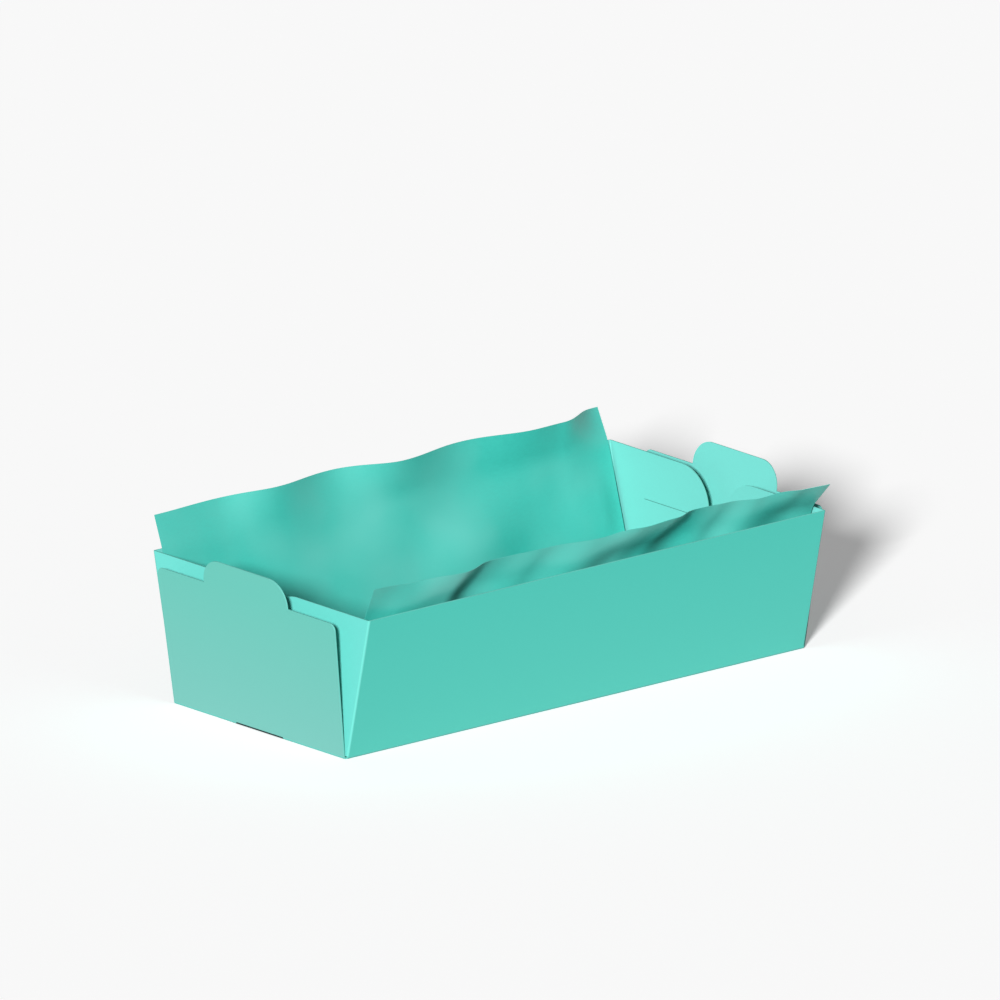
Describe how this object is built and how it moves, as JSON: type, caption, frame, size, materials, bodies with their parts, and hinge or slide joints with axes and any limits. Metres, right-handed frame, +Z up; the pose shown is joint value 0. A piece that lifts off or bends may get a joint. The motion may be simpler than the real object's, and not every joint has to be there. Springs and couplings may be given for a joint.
{
  "type": "folded paperboard food tray with paper liner",
  "caption": "Open rectangular food tray folded from turquoise paperboard, with leaning long walls, tabbed end panels, corner flaps and a loose wavy paper liner.",
  "frame": {"origin": "middle of the tray's flat underside", "axes": "+X along the tray, +Y across it, +Z up out of its open top"},
  "size_m": [0.2164, 0.1162, 0.0633],
  "materials": {
    "coated_board": "smooth matt coated paperboard, turquoise on both faces",
    "wrapping_paper": "soft matt food paper, turquoise"
  },
  "bodies": {
    "root": {"tray": "coated_board", "paper_liner": "wrapping_paper"}
  },
  "joints": []
}
